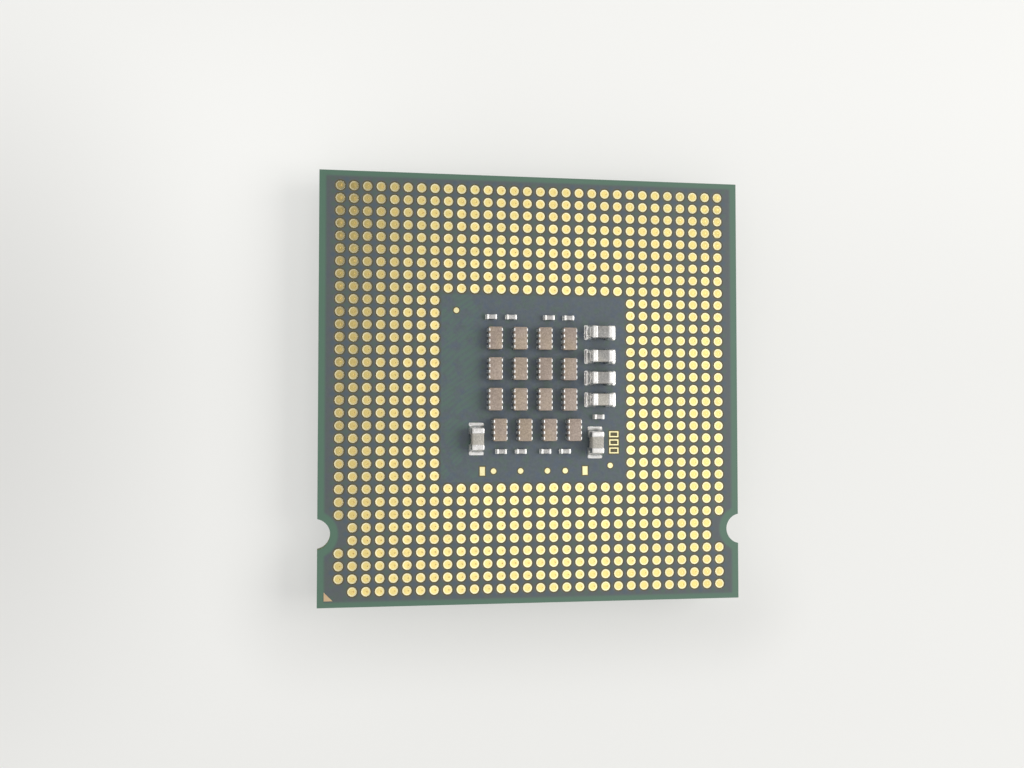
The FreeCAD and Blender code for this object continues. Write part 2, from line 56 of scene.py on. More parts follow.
def middleOf(node):
    low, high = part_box(node)
    return (low + high) / 2


def namesLike(start):
    return sorted((n for n in nodes if n.startswith(start)), key=lambda n: (len(n), n))


# node trees, for materials and for geometry alike
class Field:  # a socket that takes part in arithmetic
    def __init__(self, graph, socket):
        self.graph = graph
        self.socket = socket

    def __add__(self, other):
        return self.graph.maths("ADD", self, other)

    def __sub__(self, other):
        return self.graph.maths("SUBTRACT", self, other)

    def __radd__(self, other):
        return self.graph.maths("ADD", other, self)

    def __rsub__(self, other):
        return self.graph.maths("SUBTRACT", other, self)

    def __mul__(self, other):
        return self.graph.maths("MULTIPLY", self, other)

    def __truediv__(self, other):
        return self.graph.maths("DIVIDE", self, other)

    def __pow__(self, other):
        return self.graph.maths("POWER", self, other)

    def __lt__(self, other):
        return self.graph.maths("LESS_THAN", self, other)

    def __gt__(self, other):
        return self.graph.maths("GREATER_THAN", self, other)

    def __abs__(self):
        return self.graph.maths("ABSOLUTE", self)

    def __rmul__(self, other):
        return self.graph.maths("MULTIPLY", other, self)


class Graph:  # a node tree with one way to add a node
    def __init__(self, tree):
        self.tree = tree

    def feed(self, socket, value):
        if isinstance(value, Field):
            self.tree.links.new(value.socket, socket)
        elif value is not None:
            socket.default_value = value

    def node(self, kind, sockets=None, out=0, **settings):
        made = self.tree.nodes.new(kind)
        for name, value in settings.items():
            if name == "stops":
                setStops(made.color_ramp, value)
            else:
                setattr(made, name, value)
        for name, value in (sockets or {}).items():
            self.feed(made.inputs[name], value)
        return Field(self, made.outputs[out]) if made.outputs else made

    def maths(self, operation, *values):
        return self.node("ShaderNodeMath", dict(enumerate(values)), operation=operation)

    def split(self, vector):
        parts = self.node("ShaderNodeSeparateXYZ", {0: vector})
        return [Field(self, socket) for socket in parts.socket.node.outputs]

    def far(self, across, down):  # length of a flat offset
        return self.maths("SQRT", across ** 2.0 + down ** 2.0)

    def step(self, value, low, high, toLow=0.0, toHigh=1.0):  # a soft step from toLow to toHigh
        return self.node("ShaderNodeMapRange", {
            "Value": value, "From Min": low, "From Max": high, "To Min": toLow, "To Max": toHigh,
        }, interpolation_type="SMOOTHSTEP")

    def mix(self, share, first, second, blend="MIX"):
        first = first if isinstance(first, Field) else rgba(first)
        second = second if isinstance(second, Field) else rgba(second)
        return self.node("ShaderNodeMix", {0: share, 6: first, 7: second}, out=2,
                         data_type="RGBA", blend_type=blend)


def setStops(ramp, stops):
    while len(ramp.elements) > 1:
        ramp.elements.remove(ramp.elements[-1])
    ramp.elements[0].position, ramp.elements[0].color = stops[0][0], rgba(stops[0][1])
    for position, colour in stops[1:]:
        ramp.elements.new(position).color = rgba(colour)


def rgba(colour):
    return tuple(colour) + (1.0,)


class Paint(Graph):  # a material on the Principled shader
    def __init__(self, name, **constants):
        self.material = bpy.data.materials.new(name)
        self.material.use_nodes = True
        super().__init__(self.material.node_tree)
        self.shader = self.tree.nodes["Principled BSDF"]
        for key, value in constants.items():
            self.set(key, value)

    def set(self, key, value):
        self.feed(self.shader.inputs[key.replace("_", " ")], value)

    def place(self):  # the point on the piece, in millimetres
        point = self.node("ShaderNodeTexCoord", out="Object")
        return self.node("ShaderNodeVectorMath", {0: point, "Scale": 1000.0}, operation="SCALE")

    def noise(self, vector, scale, detail=2.0, rough=0.5, out=0):
        return self.node("ShaderNodeTexNoise", {
            "Vector": vector, "Scale": scale, "Detail": detail, "Roughness": rough}, out=out)

    def shade(self, colour, factor):  # colour times a number
        tint = self.node("ShaderNodeCombineXYZ", {0: factor, 1: factor, 2: factor})
        return self.mix(1.0, colour, tint, "MULTIPLY")

    def bump(self, height, distance, strength=1.0):
        normal = self.node("ShaderNodeBump", {
            "Strength": strength, "Distance": distance, "Height": height}, out="Normal")
        self.set("Normal", normal)


landField = {  # where lands stand: a grid apart from the bay, the notches and the marked corner
    "columns": 30, "rows": 33, "pitchAcross": 1.17 * mm, "pitchDown": 1.09 * mm,
    "bayAcross": 8.25 * mm, "bayDown": 8.25 * mm,
    "notchAcross": 18.92 * mm, "notchDown": -12.5 * mm, "notchClear": 2.3 * mm,
    "cornerAcross": -18.18 * mm, "cornerDown": -18.18 * mm, "cornerClear": 1.8 * mm,
}


def landPlaces(graph, x, y, spot):  # one where a land may stand, and one inside the bay
    inBay = (abs(x) < spot["bayAcross"]) * (abs(y) < spot["bayDown"])
    notchFar = graph.far(abs(x) - spot["notchAcross"], y - spot["notchDown"]) > spot["notchClear"]
    cornerFar = graph.far(x - spot["cornerAcross"], y - spot["cornerDown"]) > spot["cornerClear"]
    return (1.0 - inBay) * notchFar * cornerFar, inBay


# materials, with every length in mm
landSpot = {key: value if key in ("columns", "rows") else value / mm for key, value in landField.items()}
gridHalf = (landSpot["columns"] * landSpot["pitchAcross"] / 2, landSpot["rows"] * landSpot["pitchDown"] / 2)


def landCell(paint, x, y):  # offset from the nearest land place, and a number of that place's own
    wide, deep = landSpot["pitchAcross"], landSpot["pitchDown"]
    across = x / wide + 100.0  # a whole hundred keeps the numbers above zero
    down = y / deep + 100.5  # the rows are odd in number, so one of them is in the middle
    cell = paint.node("ShaderNodeCombineXYZ", {
        0: paint.maths("FLOOR", across), 1: paint.maths("FLOOR", down)})
    own = paint.node("ShaderNodeTexWhiteNoise", {"Vector": cell}, out="Value", noise_dimensions="2D")
    return (paint.maths("FRACT", across) - 0.5) * wide, (paint.maths("FRACT", down) - 0.5) * deep, own


boardLook = {
    "slate": (0.094, 0.117, 0.136), "blue": (0.084, 0.112, 0.152), "moss": (0.086, 0.128, 0.112),
    "field": (0.094, 0.106, 0.104), "trace": (0.088, 0.150, 0.124),
    "green": (0.090, 0.172, 0.124), "under": (0.070, 0.150, 0.095), "resin": (0.100, 0.088, 0.038),
    "laminate": (0.20, 0.25, 0.11), "core": (0.24, 0.28, 0.14), "skin": (0.09, 0.16, 0.09),
    "window": 0.515, "windowSoft": 0.02, "rimAcross": 0.58, "rimDown": 0.46, "notchRim": 0.66, "soft": 0.16,
    "notchOut": 0.24, "notchUp": 6.22, "notchRadius": 1.33,
    "patchShow": 0.8, "fieldShow": 0.6,
    "viaBlue": (0.074, 0.108, 0.138), "viaGreen": (0.080, 0.126, 0.100),
    "viaShow": 0.75, "viaInner": 0.10, "viaOuter": 0.30,
    "traceRim": (-4.2, -5.6), "traceSlope": (0.62, 0.78), "traceWander": 1.6, "tracePitch": 0.22,
    "traceEdge": (0.06, 0.16), "traceShow": 0.5, "copperShow": 0.35,
    "plies": (  # share of the board's thickness, colour
        (0.0, "green"), (0.06, "skin"), (0.17, "laminate"), (0.50, "core"),
        (0.83, "laminate"), (0.94, "skin"), (1.0, "green")),
    "smooth": 0.36, "matt": 0.48, "sawnMatt": 0.3, "viaRise": 0.6, "windowDrop": 3.0, "relief": 0.006,
}


def makeBoardPaint():
    look = boardLook
    paint = Paint("boardMask", Roughness=0.42, Specular_IOR_Level=0.42)
    place = paint.place()
    x, y, z = paint.split(place)
    half = boardHalf / mm
    soft = look["soft"]
    notchReach = paint.far(abs(x) - (half + look["notchOut"]), y + (half - look["notchUp"]))
    notchReach = notchReach - look["notchRadius"]
    plane = paint.step(half - abs(x), look["rimAcross"] - soft, look["rimAcross"] + soft)
    plane = plane * paint.step(half - abs(y), look["rimDown"] - soft, look["rimDown"] + soft)
    plane = plane * paint.step(notchReach, look["notchRim"] - soft, look["notchRim"] + soft)

    cloud = paint.noise(place, 0.9, 3.0)
    grain = paint.noise(place, 5.0, 3.0, 0.6)
    patch = paint.noise(place, 2.1, 2.0)
    slate = paint.mix(paint.step(patch, 0.50, 0.68) * look["patchShow"], look["slate"], look["moss"])
    slate = paint.mix(paint.step(patch, 0.48, 0.32) * look["patchShow"], slate, look["blue"])
    slate = paint.shade(slate, paint.step(grain, 0.3, 0.7, 0.93, 1.07))

    # copper under the mask: vias between the lands, and traces on the bay's left
    offAcross, offDown = landCell(paint, x, y)[:2]
    cellAcross, cellDown = x - offAcross, y - offDown
    clear, inBay = landPlaces(paint, cellAcross, cellDown, landSpot)
    atLand = clear * (abs(cellAcross) < gridHalf[0]) * (abs(cellDown) < gridHalf[1])
    faceUp = paint.split(paint.node("ShaderNodeNewGeometry", out="Normal"))[2]
    slate = paint.mix((1.0 - inBay) * look["fieldShow"], slate, look["field"])
    inner, outer = look["window"] - look["windowSoft"], look["window"] + look["windowSoft"]
    window = paint.step(paint.far(offAcross, offDown), outer, inner) * atLand
    halfAcross, halfDown = landSpot["pitchAcross"] / 2, landSpot["pitchDown"] / 2
    viaAcross, viaDown, viaOwn = landCell(paint, x + halfAcross, y + halfDown)
    via = paint.step(paint.far(viaAcross, viaDown), look["viaOuter"], look["viaInner"])
    via = via * (1.0 - inBay) * plane
    tint = paint.mix(paint.step(viaOwn, 0.45, 0.55), look["viaBlue"], look["viaGreen"])
    slate = paint.mix(via * look["viaShow"], slate, tint)
    wander = paint.noise(place, 0.25, 1.0) * look["traceWander"]
    along = x * look["traceSlope"][0] - y * look["traceSlope"][1] + wander
    lines = paint.step(paint.maths("PINGPONG", along, look["tracePitch"]), *look["traceEdge"])
    left = paint.step(x, *look["traceRim"]) * inBay * paint.step(cloud, 0.40, 0.55)
    slate = paint.mix(left * (lines * look["traceShow"] + look["copperShow"]), slate, look["trace"])

    top = paint.mix(plane, look["green"], slate)
    top = paint.mix(window, top, look["resin"])
    under = paint.mix(paint.step(cloud, 0.3, 0.7), look["under"], look["green"])
    top = paint.mix(faceUp < -0.5, top, under)

    # the sawn edge shows the plies of the laminate
    side = paint.step(abs(faceUp), 0.6, 0.4)
    depth = (z - boardLow.z / mm) / ((boardTop - boardLow.z) / mm)
    stops = [(share, look[colour]) for share, colour in look["plies"]]
    ply = paint.node("ShaderNodeValToRGB", {0: depth}, stops=stops)
    threads = paint.node("ShaderNodeCombineXYZ", {0: x * 3.0, 1: y * 3.0, 2: z * 22.0})
    weave = paint.noise(threads, 1.0, 4.0, 0.7)
    ply = paint.shade(ply, paint.step(weave, 0.25, 0.75, 0.75, 1.2))
    paint.set("Base Color", paint.mix(side, top, ply))
    rough = paint.step(grain, 0.2, 0.8, look["smooth"], look["matt"])
    paint.set("Roughness", rough + side * look["sawnMatt"])
    relief = plane + via * look["viaRise"] - window * look["windowDrop"]
    paint.bump(grain * 0.3 + relief * (faceUp > 0.5), look["relief"] * mm, 0.6)
    return paint.material


goldLook = {
    # rim: a paler ring near the land's edge, a painted highlight where the edge catches light
    "face": (0.975, 0.80, 0.305), "rim": (1.0, 0.925, 0.60),
    "worn": (0.96, 0.74, 0.29), "dent": (0.80, 0.50, 0.17),
    "rimHighlightFrom": 0.24, "rimHighlightTo": 0.34, "dentShift": 0.10, "dentInner": 0.05, "dentOuter": 0.11,
    "smooth": 0.18, "matt": 0.25, "grain": 0.16, "dentShow": 0.6, "dentMatt": 0.15, "wornShow": 0.4,
    "darkest": 0.95, "spread": 0.07,
}


def makeLandPaint():
    look = goldLook
    paint = Paint("landGold", Metallic=1.0)
    place = paint.place()
    x, y = paint.split(place)[:2]
    offAcross, offDown, own = landCell(paint, x, y)
    rub = paint.noise(place, 3.0, 4.0, 0.6)
    dent = paint.step(paint.far(offAcross - look["dentShift"], offDown), look["dentOuter"], look["dentInner"])
    dent = dent * (own * 0.7 + 0.5)  # no two lands are dented alike
    # painted highlight: the ring near the land's edge is paler
    rim = paint.step(paint.far(offAcross, offDown), look["rimHighlightFrom"], look["rimHighlightTo"])
    colour = paint.mix(rim, look["face"], look["rim"])
    colour = paint.mix(dent * look["dentShow"], colour, look["dent"])
    colour = paint.mix(paint.step(rub, 0.5, 0.8) * look["wornShow"], colour, look["worn"])
    colour = paint.shade(colour, own * look["spread"] + look["darkest"])
    paint.set("Base Color", colour)
    paint.set("Roughness", paint.step(rub, 0.3, 0.7, look["smooth"], look["matt"]) + dent * look["dentMatt"])
    paint.bump(paint.noise(place, 6.0, 2.0), 0.002 * mm, look["grain"])
    return paint.material


def makeFoilPaint(name, colour, worn):
    paint = Paint(name, Metallic=1.0)
    place = paint.place()
    rub = paint.noise(place, 4.0, 4.0, 0.6)
    paint.set("Base Color", paint.mix(paint.step(rub, 0.35, 0.7), colour, worn))
    paint.set("Roughness", paint.step(rub, 0.3, 0.7, 0.3, 0.42))
    paint.bump(paint.noise(place, 12.0, 2.0), 0.002 * mm, 0.5)
    return paint.material


windowLook = {"dark": (0.090, 0.080, 0.036), "light": (0.110, 0.098, 0.044), "rough": 0.55}


def makeWindowPaint():  # bare resin around the pads, where the mask is open
    look = windowLook
    paint = Paint("windowResin", Roughness=look["rough"])
    place = paint.place()
    fleck = paint.noise(place, 2.5, 2.0, 0.6)
    paint.set("Base Color", paint.mix(paint.step(fleck, 0.3, 0.7), look["dark"], look["light"]))
    paint.bump(fleck, 0.003 * mm, 0.5)
    return paint.material


def makeCeramicPaint(name, colour, second, speck, rough):
    paint = Paint(name, Specular_IOR_Level=0.4)
    place = paint.place()
    batch = paint.noise(place, 0.35, 1.0)
    grain = paint.noise(place, 5.0, 3.0, 0.65)
    pits = paint.noise(place, 8.0, 2.0, 0.6)
    base = paint.mix(paint.step(batch, 0.38, 0.62), colour, second)
    base = paint.mix(paint.step(grain, 0.50, 0.72) * 0.5, base, speck)
    base = paint.shade(base, paint.step(pits, 0.3, 0.7, 0.80, 1.12))
    paint.set("Base Color", base)
    paint.set("Roughness", paint.step(grain, 0.3, 0.7, rough - 0.08, rough + 0.08))
    paint.bump(grain * 0.6 + pits * 0.4, 0.004 * mm, 0.6)
    return paint.material


def makeMetalPaint(name, bright, dull, rough, scale, depth):
    paint = Paint(name, Metallic=1.0)
    place = paint.place()
    cloud = paint.noise(place, scale, 4.0, 0.6)
    grain = paint.noise(place, scale * 4.0, 2.0)
    paint.set("Base Color", paint.mix(paint.step(cloud, 0.35, 0.68), bright, dull))
    paint.set("Roughness", paint.step(cloud, 0.3, 0.7, rough - 0.07, rough + 0.09))
    paint.bump(cloud * 0.6 + grain * 0.4, depth * mm, 0.7)
    return paint.material


lidLook = {
    "bright": (0.66, 0.645, 0.61), "dull": (0.62, 0.605, 0.57), "smooth": 0.34, "matt": 0.46,
    "lineLength": 0.35, "lineCount": 9.0, "relief": 0.006,
}


def makeLidPaint():  # nickel plate, with the faint lines of a stamped and blasted face
    look = lidLook
    paint = Paint("lidNickel", Metallic=1.0)
    place = paint.place()
    x, y, z = paint.split(place)
    drawn = paint.node("ShaderNodeCombineXYZ", {0: x * look["lineLength"], 1: y * look["lineCount"], 2: z})
    lines = paint.noise(drawn, 1.0, 3.0, 0.6)
    blast = paint.noise(place, 16.0, 3.0, 0.6)
    smear = paint.noise(place, 0.25, 3.0)
    colour = paint.mix(paint.step(smear, 0.35, 0.7), look["bright"], look["dull"])
    paint.set("Base Color", paint.shade(colour, paint.step(lines, 0.3, 0.7, 0.95, 1.04)))
    paint.set("Roughness", paint.step(blast, 0.3, 0.7, look["smooth"], look["matt"]))
    paint.bump(blast * 0.7 + lines * 0.3, look["relief"] * mm, 0.5)
    return paint.material


def makePlainPaint(name, colour, second, rough, scale):
    paint = Paint(name)
    place = paint.place()
    cloud = paint.noise(place, scale, 4.0, 0.6)
    paint.set("Base Color", paint.mix(paint.step(cloud, 0.3, 0.7), colour, second))
    paint.set("Roughness", paint.step(cloud, 0.3, 0.7, rough - 0.06, rough + 0.06))
    paint.bump(cloud, 0.01 * mm, 0.6)
    return paint.material


foils = {  # name, colour, worn colour
    "foil": ("foilGold", (1.0, 0.93, 0.54), (0.98, 0.88, 0.48)),
    "mark": ("markGold", (0.83, 0.61, 0.38), (0.77, 0.55, 0.33)),
}
ceramics = {  # name, colour, colour of another batch, specks, roughness
    "tan": ("arrayCeramic", (0.355, 0.285, 0.240), (0.375, 0.300, 0.228), (0.50, 0.42, 0.35), 0.5),
    "grey": ("largeCeramic", (0.30, 0.295, 0.285), (0.45, 0.43, 0.38), (0.56, 0.54, 0.50), 0.24),
    "pale": ("chipCeramic", (0.50, 0.50, 0.49), (0.45, 0.445, 0.44), (0.66, 0.65, 0.63), 0.45),
}
metals = {  # name, bright colour, dull colour, roughness, size of the grain, its depth in mm
    "tin": ("tinPlate", (0.98, 0.975, 0.96), (0.86, 0.85, 0.83), 0.42, 3.0, 0.008),
    "cap": ("capPlate", (0.92, 0.915, 0.905), (0.72, 0.71, 0.685), 0.30, 2.4, 0.022),
    "solder": ("brightSolder", (0.97, 0.97, 0.96), (0.84, 0.825, 0.79), 0.32, 2.5, 0.014),
    "bond": ("bondMetal", (0.74, 0.745, 0.76), (0.62, 0.63, 0.65), 0.42, 1.5, 0.008),
}
plains = {  # name, colour, second colour, roughness, size of the cloud
    "sealant": ("lidSealant", (0.022, 0.022, 0.023), (0.035, 0.035, 0.036), 0.6, 1.5),
    "silicon": ("siliconFace", (0.10, 0.105, 0.125), (0.13, 0.13, 0.15), 0.2, 0.8),
    "resin": ("underfillResin", (0.03, 0.032, 0.04), (0.045, 0.045, 0.055), 0.45, 1.2),
}
paints = {
    "board": makeBoardPaint(), "land": makeLandPaint(),
    "window": makeWindowPaint(), "lid": makeLidPaint(),
}
paints.update({key: makeFoilPaint(*look) for key, look in foils.items()})
paints.update({key: makeCeramicPaint(*look) for key, look in ceramics.items()})
paints.update({key: makeMetalPaint(*look) for key, look in metals.items()})
paints.update({key: makePlainPaint(*look) for key, look in plains.items()})
print("materials made:", len(paints))


# mesh tools
def link(name, mesh):
    piece = bpy.data.objects.new(name, mesh)
    bpy.context.scene.collection.objects.link(piece)
    return piece


def finishPiece(piece, paint, slot, *replaced):
    piece.data.materials.clear()
    piece.data.materials.append(paints[paint])
    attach(piece, "root")
    if replaced:
        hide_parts(*replaced)
    return piece


def baked(piece, name):  # the modifiers' result as a plain mesh
    graph = bpy.context.evaluated_depsgraph_get()
    mesh = bpy.data.meshes.new_from_object(piece.evaluated_get(graph), depsgraph=graph)
    mesh.name = name
    old = piece.data
    bpy.data.objects.remove(piece)
    if old.users == 0:
        bpy.data.meshes.remove(old)
    return link(name, mesh)


weldReach = 0.0005 * mm  # a CAD node's mesh is loose triangles, so a copy is merged first
softCopy = {"segments": 2, "sharper": math.radians(35.0), "flatter": math.radians(1.0)}


def softenedCopy(node, name, radius):  # the node's own shape with its edges broken
    shape = bmesh.new()
    shape.from_mesh(nodes[node].data)
    bmesh.ops.remove_doubles(shape, verts=shape.verts[:], dist=weldReach)
    bmesh.ops.dissolve_limit(
        shape, angle_limit=softCopy["flatter"], verts=shape.verts[:], edges=shape.edges[:])
    mesh = bpy.data.meshes.new(name)
    shape.to_mesh(mesh)
    shape.free()
    piece = link(name, mesh)
    bevel = piece.modifiers.new("edges", "BEVEL")
    bevel.width = radius
    bevel.segments = softCopy["segments"]
    bevel.limit_method = "ANGLE"
    bevel.angle_limit = softCopy["sharper"]
    bevel.harden_normals = True
    mesh.shade_smooth()
    return baked(piece, name)


def solidsOf(node):  # the boxes of a node's separate solids, in order of their place
    shape = bmesh.new()
    shape.from_mesh(nodes[node].data)
    bmesh.ops.remove_doubles(shape, verts=shape.verts[:], dist=weldReach)
    left = set(shape.verts)
    boxes = []
    while left:
        reached = [left.pop()]
        for vert in reached:
            for edge in vert.link_edges:
                other = edge.other_vert(vert)
                if other in left:
                    left.remove(other)
                    reached.append(other)
        low = Vector([min(v.co[i] for v in reached) for i in range(3)])
        high = Vector([max(v.co[i] for v in reached) for i in range(3)])
        boxes.append((low, high))
    shape.free()
    return sorted(boxes, key=lambda box: [round(v / mm, 2) for v in (*box[0], *box[1])])


def joined(name, parts):
    shape = bmesh.new()
    for part in parts:
        shape.from_mesh(part.data)
        bpy.data.objects.remove(part)
    mesh = bpy.data.meshes.new(name)
    shape.to_mesh(mesh)
    shape.free()
    return link(name, mesh)


landShape = {
    "sides": 16, "radius": 0.405 * mm, "edge": 0.009 * mm, "flat": 0.30 * mm, "dish": 0.0015 * mm,
    "dentRadius": 0.055 * mm, "dentFloor": 0.030 * mm, "dentShift": 0.10 * mm, "dentDepth": 0.005 * mm,
}


def turnedMesh(name, profile, sides):  # a closed solid of rings, each (radius, height, shift across)
    shape = bmesh.new()
    rings = []
    for radius, height, shift in profile:
        ring = []
        for i in range(sides):
            angle = 2 * math.pi * i / sides
            ring.append(shape.verts.new((shift + radius * math.cos(angle), radius * math.sin(angle), height)))
        rings.append(ring)
    for lower, upper in zip(rings, rings[1:]):
        for i in range(sides):
            j = (i + 1) % sides
            shape.faces.new((lower[i], lower[j], upper[j], upper[i])).smooth = True
    shape.faces.new(rings[0][::-1])
    shape.faces.new(rings[-1])
    for edge in shape.edges:  # the bands meet at sharp edges
        edge.smooth = abs(edge.verts[0].co.z - edge.verts[1].co.z) > 1e-9
    mesh = bpy.data.meshes.new(name)
    shape.to_mesh(mesh)
    shape.free()
    return mesh


def landTree():
    tree = bpy.data.node_groups.new("landGrid", "GeometryNodeTree")
    face = tree.interface
    face.new_socket("Geometry", in_out="INPUT", socket_type="NodeSocketGeometry")
    face.new_socket("shape", in_out="INPUT", socket_type="NodeSocketObject")
    face.new_socket("material", in_out="INPUT", socket_type="NodeSocketMaterial")
    for name in landField:
        kind = "NodeSocketInt" if name in ("columns", "rows") else "NodeSocketFloat"
        face.new_socket(name, in_out="INPUT", socket_type=kind)
    face.new_socket("level", in_out="INPUT", socket_type="NodeSocketFloat")
    face.new_socket("Geometry", in_out="OUTPUT", socket_type="NodeSocketGeometry")
    graph = Graph(tree)
    entry = tree.nodes.new("NodeGroupInput")
    given = {socket.name: Field(graph, socket) for socket in entry.outputs if socket.name}
    grid = graph.node("GeometryNodeMeshGrid", {
        "Size X": (given["columns"] - 1.0) * given["pitchAcross"],
        "Size Y": (given["rows"] - 1.0) * given["pitchDown"],
        "Vertices X": given["columns"], "Vertices Y": given["rows"]})
    point = graph.node("GeometryNodeInputPosition")
    x, y = graph.split(point)[:2]
    clear = landPlaces(graph, x, y, given)[0]
    shape = graph.node("GeometryNodeObjectInfo", {"Object": given["shape"]}, out="Geometry")
    placed = graph.node("GeometryNodeInstanceOnPoints", {
        "Points": grid, "Selection": clear, "Instance": shape})
    raised = graph.node("GeometryNodeTranslateInstances", {
        "Instances": placed, "Translation": graph.node("ShaderNodeCombineXYZ", {2: given["level"]})})
    solid = graph.node("GeometryNodeRealizeInstances", {"Geometry": raised})
    painted = graph.node("GeometryNodeSetMaterial", {"Geometry": solid, "Material": given["material"]})
    leave = tree.nodes.new("NodeGroupOutput")
    graph.feed(leave.inputs[0], painted)
    return tree


def useTree(piece, tree, values):
    modifier = piece.modifiers.new(tree.name, "NODES")
    modifier.node_group = tree
    for item in tree.interface.items_tree:
        if item.in_out == "INPUT" and item.name in values:
            modifier[item.identifier] = values[item.name]


def makeLands():
    look = landShape
    top = landHigh.z - boardTop
    face = top - look["dish"]
    mesh = turnedMesh("oneLand", (
        (look["radius"], 0.0, 0.0), (look["radius"], top - look["edge"], 0.0),
        (look["radius"] - look["edge"], top, 0.0), (look["flat"], face, 0.0),
        (look["dentRadius"], face, look["dentShift"]),
        (look["dentFloor"], face - look["dentDepth"], look["dentShift"])), look["sides"])
    one = link("oneLand", mesh)
    field = link("landPoints", bpy.data.meshes.new("landPoints"))
    useTree(field, landTree(), {**landField, "shape": one, "material": paints["land"], "level": boardTop})
    lands = baked(field, "contactLands")
    bpy.data.objects.remove(one)
    return finishPiece(lands, "land", "gold_plate", *namesLike("contact_lands"))


lands = makeLands()
print("contact lands:", len(lands.data.polygons), "faces")


padWindow = {"wider": 0.10 * mm, "thick": 0.005 * mm, "sides": 32, "roundWithin": 0.02 * mm}


def makePadWindows():  # the mask stays clear of the bare pads
    look = padWindow
    parts = []
    for low, high in solidsOf("gold_pads"):
        middle, half = (low + high) / 2, (high - low) / 2
        radius = half.x + look["wider"]
        isRound = abs(half.x - half.y) < look["roundWithin"]
        sides = look["sides"] if isRound else 4
        stretch = 1.0 if isRound else math.sqrt(2)
        profile = ((radius * stretch, 0.0, 0.0), (radius * stretch, look["thick"], 0.0))
        mesh = turnedMesh("window", profile, sides)
        place = Matrix.Translation((middle.x, middle.y, boardTop))
        if not isRound:
            place @= Matrix.Diagonal((1.0, (half.y + look["wider"]) / radius, 1.0, 1.0))
            place @= Matrix.Rotation(math.pi / 4, 4, "Z")
        mesh.transform(place)
        parts.append(link("window", mesh))
    return finishPiece(joined("padWindows", parts), "window", "board")


solderLook = {
    "cellsOut": 7, "cellsWide": 8, "flat": 0.030 * mm, "hollow": 3.1, "drop": 0.85, "sides": 3,
    "round": 0.12, "roundPower": 6, "tip": 0.6, "tipPower": 8, "largeFrom": 0.9 * mm,
}


def solderMesh(name, under, out, wide, tall):  # the fillet rises to the terminal's face at x = 0
    look = solderLook
    shape = bmesh.new()
    steps = [-under] + [out * i / look["cellsOut"] for i in range(look["cellsOut"] + 1)]
    rows = []
    for x in steps:
        along = max(x, 0.0) / out
        pinch = 1.0 - look["round"] * along ** look["roundPower"] * wide / (wide + out)
        rise = (tall - look["flat"]) * (1.0 - along) ** look["hollow"]
        rest = look["flat"] * (1.0 - look["tip"] * along ** look["tipPower"])
        row = []
        for j in range(look["cellsWide"] + 1):
            side = 2.0 * j / look["cellsWide"] - 1.0
            climb = rise * (1.0 - look["drop"] * abs(side) ** look["sides"])
            row.append(shape.verts.new((x, side * pinch * wide / 2, rest + climb)))
        rows.append(row)
    for row, following in zip(rows, rows[1:]):
        for j in range(look["cellsWide"]):
            shape.faces.new((row[j], following[j], following[j + 1], row[j + 1])).smooth = True
    rim = [row[0] for row in rows] + rows[-1][1:] + [row[-1] for row in rows[-2::-1]] + rows[0][-2:0:-1]
    low = [shape.verts.new((v.co.x, v.co.y, 0.0)) for v in rim]
    for i in range(len(rim)):
        j = (i + 1) % len(rim)
        shape.faces.new((low[i], low[j], rim[j], rim[i]))
    shape.faces.new(low[::-1])
    bmesh.ops.recalc_face_normals(shape, faces=shape.faces[:])
    mesh = bpy.data.meshes.new(name)
    shape.to_mesh(mesh)
    shape.free()
    return mesh


def scatterTree():  # one shape on every point, turned by the point's own angle
    tree = bpy.data.node_groups.new("scatter", "GeometryNodeTree")
    face = tree.interface
    face.new_socket("Geometry", in_out="INPUT", socket_type="NodeSocketGeometry")
    face.new_socket("shape", in_out="INPUT", socket_type="NodeSocketObject")
    face.new_socket("material", in_out="INPUT", socket_type="NodeSocketMaterial")
    face.new_socket("Geometry", in_out="OUTPUT", socket_type="NodeSocketGeometry")
    graph = Graph(tree)
    entry = tree.nodes.new("NodeGroupInput")
    given = {socket.name: Field(graph, socket) for socket in entry.outputs if socket.name}
    shape = graph.node("GeometryNodeObjectInfo", {"Object": given["shape"]}, out="Geometry")
    turn = graph.node("GeometryNodeInputNamedAttribute", {"Name": "turn"}, data_type="FLOAT")
    angles = graph.node("ShaderNodeCombineXYZ", {2: turn})
    spin = graph.node("FunctionNodeEulerToRotation", {0: angles})
    placed = graph.node("GeometryNodeInstanceOnPoints", {
        "Points": given["Geometry"], "Instance": shape, "Rotation": spin})
    solid = graph.node("GeometryNodeRealizeInstances", {"Geometry": placed})
    painted = graph.node("GeometryNodeSetMaterial", {"Geometry": solid, "Material": given["material"]})
    leave = tree.nodes.new("NodeGroupOutput")
    graph.feed(leave.inputs[0], painted)
    return tree


def scatter(tree, name, shape, places, paint):  # places: (point, turn)
    points = bpy.data.meshes.new(name + "Points")
    points.from_pydata([point for point, turn in places], [], [])
    turns = points.attributes.new("turn", "FLOAT", "POINT")
    turns.data.foreach_set("value", [turn for point, turn in places])
    one = link(name + "Shape", shape)
    piece = link(name + "Points", points)
    useTree(piece, tree, {"shape": one, "material": paints[paint]})
    piece = baked(piece, name)
    bpy.data.objects.remove(one)
    return piece


def roundedBlock(sides, radius):  # its broad faces stay flat, its edges are shaded round
    mesh = bpy.data.meshes.new("block")
    shape = bmesh.new()
    bmesh.ops.create_cube(shape, size=1.0, matrix=Matrix.Diagonal((*sides, 1.0)))
    bmesh.ops.bevel(shape, geom=shape.edges[:], offset=radius, segments=3, profile=0.5, affect="EDGES")
    for face in shape.faces:
        face.smooth = face.calc_area() < min(sides) ** 2 * 0.5
    shape.to_mesh(mesh)
    shape.free()
    return mesh


